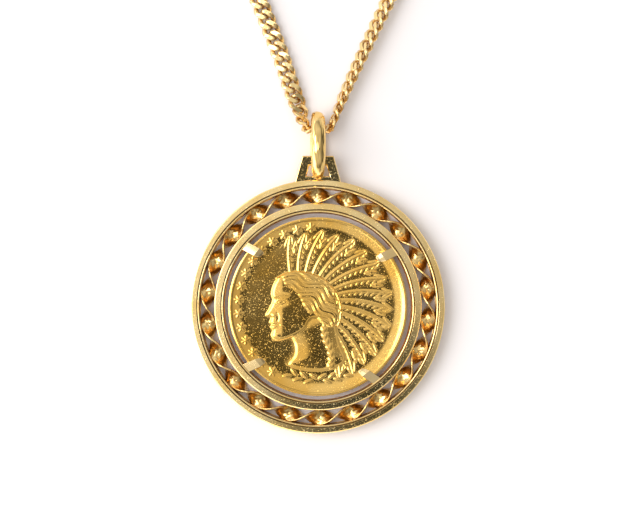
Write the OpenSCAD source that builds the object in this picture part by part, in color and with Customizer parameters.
// Coin pendant: a gold coin in a pierced double-ring frame, on a curb chain that lies in a loop.
// The pendant lies on its back: the floor is z = 0, the coin faces +Z and the chain runs towards +Y.
// The origin is the centre of the frame, on the floor.

/* [Coin] */
// Diameter of the coin
coin_d = 27; // [26:0.1:27.5]
// Thickness of the coin at its rim
coin_h = 2; // [1.6:0.1:2.1]
// Width of the raised rim
coin_rim_w = 0.56; // [0.4:0.02:0.8]
// Depth of the field below the rim
coin_field_depth = 0.3; // [0.2:0.05:0.4]
// Height of the floor under the coin
coin_z = 0.45; // [0.4:0.05:0.6]

/* [Rings] */
// Outer diameter of the outer ring
outer_ring_d = 38.3; // [38:0.1:39]
// Radial width of the outer ring
outer_ring_w = 1.25; // [1.1:0.05:1.4]
// Outer diameter of the inner ring
inner_ring_d = 31.28; // [31:0.02:31.6]
// Radial width of the inner ring
inner_ring_w = 1.37; // [1.2:0.01:1.4]
// Height of both rings
ring_h = 2.8; // [2.6:0.1:2.8]
// Chamfer on the outer edges of the rings
ring_edge = 0.25; // [0.15:0.05:0.3]
// Width of the low lip inside each ring's face
lip_w = 0.25; // [0.2:0.05:0.35]
// Drop from a ring's face to its lip
lip_drop = 0.18; // [0.1:0.02:0.3]

/* [Ribbon] */
// Number of half turns of the ribbon on its way round
half_turns = 22; // [20:2:24]
// Thickness of the ribbon
ribbon_t = 0.3; // [0.25:0.05:0.4]
// How far each edge of the ribbon is sunk in the solder of a ring
ribbon_seat = 0.06; // [0.04:0.01:0.08]
// Sections of the ribbon in each half turn
ribbon_steps = 6; // [6:1:8]

/* [Claws] */
// Clockwise places of the four claws, in degrees from the top
claw_places = [54.4, 141.5, 229.5, 309.8];
// How far each claw leans from pointing at the coin's middle, in degrees
claw_leans = [-10.6, 17, -15.6, 11.9];
// Width of a claw
claw_w = 1.5; // [1.2:0.1:1.6]
// How far a claw reaches over the coin
claw_reach = 2.1; // [1.6:0.1:2.4]
// Height of a claw above the coin
claw_h = 0.55; // [0.4:0.05:0.7]
// Height of a claw's foot above the floor
claw_foot = 0.05; // [0.03:0.01:0.1]
// Gap between the coin and each claw
coin_gap = 0.05; // [0.03:0.01:0.1]

/* [Lug] */
// Width of the lug at its foot
lug_foot_w = 7.2; // [6.8:0.1:7.6]
// Width of the lug at its top
lug_top_w = 4.8; // [4.4:0.1:5.2]
// Height of the lug above the outer ring
lug_h = 3.6; // [3.4:0.05:3.8]
// Width of the lug's two legs
lug_leg_w = 1.5; // [1.2:0.05:1.6]
// Width of the lug's top bar
lug_bar_w = 1.35; // [1.2:0.05:1.4]
// Thickness of the lug
lug_t = 0.9; // [0.8:0.05:0.95]

/* [Bail] */
// Length of the bail
bail_l = 10.3; // [10:0.1:10.6]
// Height of the bail, front to back
bail_h = 7; // [6.8:0.1:7.2]
// Width of the bail's wire, seen from the front
bail_wire_w = 2.15; // [1.8:0.05:2.3]
// Thickness of the bail's wire
bail_wire_t = 1.25; // [1.1:0.05:1.3]

/* [Chain] */
// Width of the curb chain
chain_w = 2.65; // [2.4:0.05:2.8]
// Thickness of the curb chain
chain_t = 1.05; // [0.95:0.05:1.2]

/* [Clasp] */
// Outer diameter of the clasp's ring
clasp_d = 6.2; // [5.5:0.1:6.5]
// Diameter of the clasp's wire
clasp_wire = 1.35; // [1.1:0.05:1.4]

/* [Hidden] */
coin_r = coin_d / 2;
field_r = coin_r - coin_rim_w;
field_z = coin_z + coin_h - coin_field_depth;
outer_ring_inner_r = outer_ring_d / 2 - outer_ring_w;
inner_ring_inner_r = inner_ring_d / 2 - inner_ring_w;
claw_root_r = inner_ring_inner_r + 0.3;
lip_slope = 0.08;
ledge_w = 0.15;
ledge_h = 0.5;

// Ribbon: its middle line, and its turning from lying flat (0) to standing on edge (90)
ribbon_mid_r = (outer_ring_inner_r + inner_ring_d / 2) / 2;
ribbon_w = outer_ring_inner_r - inner_ring_d / 2 + 2 * ribbon_seat;
ribbon_z = ring_h / 2;
ribbon_count = half_turns * ribbon_steps;
// Clockwise place of the first crossing where the ribbon lies flat, from the top
ribbon_first = 15.5;

// The bail stands on the floor, its lower end just clear of the outer ring
bail_r = bail_h / 2;
bail_low_y = outer_ring_d / 2 - 0.05;
bail_end_y = bail_low_y + bail_r;
bail_top_y = bail_low_y + bail_l - bail_r;

// The lug sits above the bail's back wire
lug_z = 1.7;

// The chain's route from the middle of the bail to the clasp, as points of its centre line.
// Columns: x, y, z, roll of the flat section about the route, width of the section.
flat_z = chain_t / 2;
route_right = [
  [0, 26.6, 3, 90, 1.5], [1.1, 26.7, 2.8, 95, 1.5], [2.1, 27.6, 2.3, 98, 1.5], [2.8, 29.3, 1.8, 100, 1.8],
  [4.2, 32.6, 1.6, 112, 2.4], [7, 38.7, 1.55, 124, chain_w], [10.5, 46, 1.45, 135, chain_w],
  [14, 53, 1.1, 160, chain_w], [21, 67.5, 0.7, 175, chain_w], [28, 82, flat_z, 180, chain_w],
  [35, 96.5, flat_z, 180, chain_w], [42, 111, flat_z, 180, chain_w], [49, 125.5, flat_z, 180, chain_w],
  [55.5, 139.5, flat_z, 180, chain_w], [60.5, 151.5, flat_z, 180, chain_w],
  [63.3, 163.5, flat_z, 180, chain_w], [63.5, 176, flat_z, 180, chain_w],
  [60.5, 189, flat_z, 180, chain_w], [54.5, 201.5, flat_z, 180, chain_w],
  [46, 212, flat_z, 180, chain_w], [35.5, 220.5, flat_z, 180, chain_w],
  [23, 226.5, flat_z, 180, chain_w], [11, 229, flat_z, 180, chain_w]];
route_left = [
  [0, 26.6, 3, 90, 1.5], [-1.1, 26.7, 2.8, 85, 1.5], [-2.1, 27.7, 2.3, 70, 1.5], [-2.6, 29.3, 1.6, 45, 1.8],
  [-3.8, 32.6, 1.1, 4, 2.4], [-6, 39, 0.8, -4, chain_w], [-9, 46.5, 0.85, -5, chain_w],
  [-12, 54, 0.7, -4, chain_w], [-18, 68.5, flat_z, 0, chain_w], [-24, 83.5, flat_z, 0, chain_w],
  [-30, 98, flat_z, 0, chain_w], [-36, 113, flat_z, 0, chain_w], [-42.3, 128, flat_z, 0, chain_w],
  [-47.8, 141.5, flat_z, 0, chain_w], [-52, 153.5, flat_z, 0, chain_w], [-54.3, 166, flat_z, 0, chain_w],
  [-54.2, 178, flat_z, 0, chain_w], [-51.3, 190, flat_z, 0, chain_w], [-45.5, 202, flat_z, 0, chain_w],
  [-37.5, 212, flat_z, 0, chain_w], [-26.5, 220.5, flat_z, 0, chain_w], [-13.5, 226.5, flat_z, 0, chain_w],
  [1.6, 229.2, flat_z, 0, chain_w]];
// A middle section is added wherever two points of the route are further apart than this
route_gap = 9;
chain_corner = 0.35;

// Relief of the coin: the hub is the point that the plumes spread from
relief_h = 0.22;
relief_sink = 0.1;
plume_hub = [-1.2, -0.6];
plume_count = 15;
plume_first = 112;
plume_last = -62;
plume_start = 5.6;
plume_tip_r = 11.4;
plume_w = 1.15;
small_plume_start = 8.4;
small_plume_tip_r = 10.9;
small_plume_w = 0.55;
pellet_r = 0.32;
pellet_ring_r = 12.25;
pellet_step = 10;
pellet_first = 95;
pellet_last = 235;
// Outline of the head, a plain profile looking left: down the face, then back over the nape
head_outline = [
  [-5.6, 4.6], [-6.7, 3.2], [-7, 1.6], [-6.8, 0.9], [-7.9, -1.2], [-7.2, -1.8], [-7.3, -2.4],
  [-6.9, -2.7], [-7.1, -3.2], [-6.7, -3.7], [-6.9, -4.6], [-6.2, -5.2], [-3.6, -4.7], [-3.2, -5.9],
  [-3.9, -8.6], [-1, -9.4], [2.2, -9.2], [4.2, -7.6], [3.2, -4], [2.4, 0], [1.2, 2.4], [-1, 4.2],
  [-3.4, 4.9]];

function unit(v) = v / norm(v);

// Distance along a ray from the hub, at an angle, to a circle round the coin's middle
function reach(angle, r) =
  let(along = plume_hub[0] * cos(angle) + plume_hub[1] * sin(angle))
  sqrt(r * r - plume_hub * plume_hub + along * along) - along;

// The route with a middle section between points that are far apart
function middle(p, i) =
  let(a = p[max(i - 1, 0)], b = p[i], c = p[i + 1], d = p[min(i + 2, len(p) - 1)])
  (9 * (b + c) - a - d) / 16;
function filled(p) = [
  for (i = [0 : len(p) - 1]) each
    (i < len(p) - 1 && norm(p[i + 1] - p[i]) > route_gap && i > 0) ? [p[i], middle(p, i)] : [p[i]]];

// Place of a point, and its mirror image across a plane square to X through another point
function place(row) = [row[0], row[1], row[2]];
function mirrored(row, about) = [2 * about[0] - row[0], row[1], row[2]];

// One eight-sided section of the chain's tube
function chain_section(p, i) =
  let(
    last = len(p) - 1,
    before = i == 0 ? mirrored(p[1], p[0]) : place(p[i - 1]),
    after = i == last ? mirrored(p[last - 1], p[last]) : place(p[i + 1]),
    along = unit(after - before),
    level = unit(cross([0, 0, 1], along)),
    upward = cross(along, level),
    side = level * cos(p[i][3]) + upward * sin(p[i][3]),
    up = upward * cos(p[i][3]) - level * sin(p[i][3]),
    w = p[i][4] / 2,
    t = chain_t / 2,
    c = chain_corner)
  [for (q = [
      [w, c - t], [w, t - c], [w - c, t], [c - w, t],
      [-w, t - c], [-w, c - t], [c - w, -t], [w - c, -t]])
    place(p[i]) + side * q[0] + up * q[1]];

module chain_tube(route) {
  p = filled(route);
  last = len(p) - 1;
  points = [for (i = [0 : last]) each chain_section(p, i)];
  walls = [for (i = [0 : last - 1], k = [0 : 7]) each
    let(a = 8 * i + k, b = 8 * i + (k + 1) % 8, c = b + 8, d = a + 8) [[a, c, b], [a, d, c]]];
  polyhedron(points, concat([[for (k = [0 : 7]) k]], walls, [[for (k = [7 : -1 : 0]) 8 * last + k]]));
}

// A ring of the frame: a chamfered strip with a low lip inside its face and a narrow ledge at its back
module ring(inner_r, outer_r) {
  rotate_extrude($fn = 180)
    polygon([
      [inner_r - ledge_w, 0], [outer_r - ring_edge, 0], [outer_r, ring_edge], [outer_r, ring_h - ring_edge],
      [outer_r - ring_edge, ring_h], [inner_r + lip_w + lip_slope, ring_h],
      [inner_r + lip_w, ring_h - lip_drop],
      [inner_r, ring_h - lip_drop], [inner_r, ledge_h], [inner_r - ledge_w, ledge_h]]);
}

// One section of the ribbon: i counts anticlockwise from +X
function ribbon_section(i) =
  let(
    a = 360 * i / ribbon_count,
    f = (a - 90 + ribbon_first) * half_turns / 2,
    w = ribbon_w / 2,
    t = ribbon_t / 2)
  [for (q = [[-w, -t], [w, -t], [w, t], [-w, t]])
    let(r = ribbon_mid_r + q[0] * cos(f) - q[1] * sin(f), z = ribbon_z + q[0] * sin(f) + q[1] * cos(f))
    [r * cos(a), r * sin(a), z]];

module ribbon() {
  points = [for (i = [0 : ribbon_count - 1]) each ribbon_section(i)];
  faces = [for (i = [0 : ribbon_count - 1], k = [0 : 3]) each
    let(
      j = (i + 1) % ribbon_count,
      next = (k + 1) % 4,
      a = 4 * i + k,
      b = 4 * i + next,
      c = 4 * j + next,
      d = 4 * j + k)
    [[a, b, c], [a, c, d]]];
  polyhedron(points, faces);
}

// A claw along +X: a block in the inner ring with one leaning finger over the coin and a short one under it
module claw(lean) {
  tip_r = coin_r - claw_reach;
  over_z = coin_z + coin_h + coin_gap;
  under_z = coin_z - coin_gap;
  edge_r = coin_r + coin_gap;
  side = claw_w / 2;
  // Fractions of the claw's width at its end and at the end's corners, and the corners' length
  end_share = 0.4;
  corner_share = 0.68;
  corner_l = 0.25;
  // Radius from which the claw narrows, and its slopes at the end and at the root
  narrow_r = edge_r - 0.4;
  seat_r = edge_r - 0.7;
  end_slope_l = 0.5;
  end_h = claw_h * 0.45;
  root_h = claw_h * 0.4;
  tip_aside = (claw_root_r - tip_r) * tan(lean);
  function aside(x) = (x - claw_root_r) * tan(lean);
  intersection() {
    rotate([90, 0, 0])
      linear_extrude(claw_w + 2 * abs(tip_aside), center = true)
        polygon([
          [claw_root_r, claw_foot], [seat_r, claw_foot], [seat_r, under_z], [edge_r, under_z],
          [edge_r, over_z], [tip_r, over_z], [tip_r, over_z + end_h],
          [tip_r + end_slope_l, over_z + claw_h], [edge_r + 0.1, over_z + claw_h],
          [claw_root_r, over_z + root_h]]);
    linear_extrude(over_z + claw_h)
      polygon([
        [claw_root_r, -side], [claw_root_r, side], [narrow_r, side + aside(narrow_r)],
        [tip_r + corner_l, side * corner_share + aside(tip_r + corner_l)],
        [tip_r, side * end_share + aside(tip_r)],
        [tip_r, -side * end_share + aside(tip_r)],
        [tip_r + corner_l, -side * corner_share + aside(tip_r + corner_l)],
        [narrow_r, -side + aside(narrow_r)]]);
  }
}

// The lug: a trapezoid frame with a trapezoid opening, sunk in the outer ring at its feet
module lug() {
  foot_sink = 0.8;
  foot_y = outer_ring_d / 2 - foot_sink;
  top_y = outer_ring_d / 2 + lug_h;
  corner = 0.5;
  half_foot = lug_foot_w / 2;
  half_top = lug_top_w / 2;
  bar_y = top_y - lug_bar_w;
  slope = (half_foot - half_top) / (top_y - foot_y);
  translate([0, 0, lug_z])
    linear_extrude(lug_t)
      difference() {
        polygon([
          [-half_foot, foot_y], [half_foot, foot_y], [half_top + slope * corner, top_y - corner],
          [half_top - corner, top_y], [corner - half_top, top_y],
          [-half_top - slope * corner, top_y - corner]]);
        polygon([
          [lug_leg_w - half_foot, foot_y - 1], [half_foot - lug_leg_w, foot_y - 1],
          [half_top - lug_leg_w + slope * lug_bar_w, bar_y],
          [lug_leg_w - half_top - slope * lug_bar_w, bar_y]]);
      }
}

module mount() {
  color("gold") {
    ring(outer_ring_inner_r, outer_ring_d / 2);
    ring(inner_ring_inner_r, inner_ring_d / 2);
    ribbon();
    lug();
    for (i = [0 : len(claw_places) - 1])
      rotate([0, 0, 90 - claw_places[i]]) claw(claw_leans[i]);
  }
}

// A raised plume along +X, from a start to a tip, widest past its middle and pointed at its tip
module plume(start, tip, w) {
  wide = start + (tip - start) * 0.6;
  linear_extrude(relief_sink + relief_h)
    polygon([
      [start, -w * 0.28], [wide, -w * 0.5], [tip - w * 0.5, -w * 0.34], [tip, 0],
      [tip - w * 0.5, w * 0.34], [wide, w * 0.5], [start, w * 0.28]]);
}

module relief() {
  step = (plume_first - plume_last) / (plume_count - 1);
  linear_extrude(relief_sink + relief_h) polygon(head_outline);
  translate(plume_hub) {
    for (i = [0 : plume_count - 1])
      rotate([0, 0, plume_last + step * i])
        plume(plume_start, reach(plume_last + step * i, plume_tip_r), plume_w);
    for (i = [0 : plume_count - 2])
      rotate([0, 0, plume_last + step * (i + 0.5)])
        plume(small_plume_start, reach(plume_last + step * (i + 0.5), small_plume_tip_r), small_plume_w);
  }
  for (a = [pellet_first : pellet_step : pellet_last])
    rotate([0, 0, a])
      translate([pellet_ring_r, 0])
        cylinder(r = pellet_r, h = relief_sink + relief_h, $fn = 24);
}

module coin() {
  top_z = coin_z + coin_h;
  chamfer = 0.1;
  color("goldenrod") {
    rotate_extrude($fn = 180)
      polygon([
        [0, coin_z + coin_field_depth], [field_r, coin_z + coin_field_depth], [field_r + chamfer, coin_z],
        [coin_r - chamfer, coin_z], [coin_r, coin_z + chamfer], [coin_r, top_z - chamfer],
        [coin_r - chamfer, top_z], [field_r + chamfer, top_z], [field_r, field_z], [0, field_z]]);
    translate([0, 0, field_z - relief_sink]) relief();
  }
}

// Section of the bail's wire: flat inside, round outside. x runs outward from the bail's middle.
module bail_section() {
  round_r = bail_wire_w / 2 + 0.15;
  translate([bail_r - bail_wire_t, 0])
    intersection() {
      translate([0, -bail_wire_w / 2]) square([bail_wire_t, bail_wire_w]);
      translate([bail_wire_t - round_r, 0]) circle(round_r, $fn = 48);
    }
}

module bail() {
  color("gold")
    translate([0, 0, bail_r])
      rotate([0, 90, 0]) {
        translate([0, bail_top_y]) rotate_extrude(angle = 180, $fn = 96) bail_section();
        translate([0, bail_end_y]) rotate([0, 0, 180]) rotate_extrude(angle = 180, $fn = 96) bail_section();
        for (side = [0, 1])
          mirror([side, 0, 0])
            translate([0, bail_top_y])
              rotate([90, 0, 0])
                linear_extrude(bail_top_y - bail_end_y) bail_section();
      }
}

module chain_right() {
  color("gold") chain_tube(route_right);
}

module chain_left() {
  color("gold") chain_tube(route_left);
}

// The clasp: a ring between two short arms that end square against the chain
module clasp() {
  left = place(route_left[len(route_left) - 1]);
  right = place(route_right[len(route_right) - 1]);
  middle_y = (left[1] + right[1]) / 2;
  ring_mid_r = (clasp_d - clasp_wire) / 2;
  middle_z = clasp_wire / 2;
  color("gold") {
    translate([(left[0] + right[0]) / 2, middle_y, middle_z])
      rotate_extrude($fn = 96) translate([ring_mid_r, 0]) circle(d = clasp_wire, $fn = 32);
    for (end = [left, right])
      let(inner_x = (left[0] + right[0]) / 2 + sign(end[0] - (left[0] + right[0]) / 2) * ring_mid_r)
        translate([min(end[0], inner_x), middle_y, middle_z])
          rotate([0, 90, 0]) cylinder(d = clasp_wire, h = abs(end[0] - inner_x), $fn = 32);
  }
}

mount();
coin();
bail();
chain_left();
chain_right();
clasp();
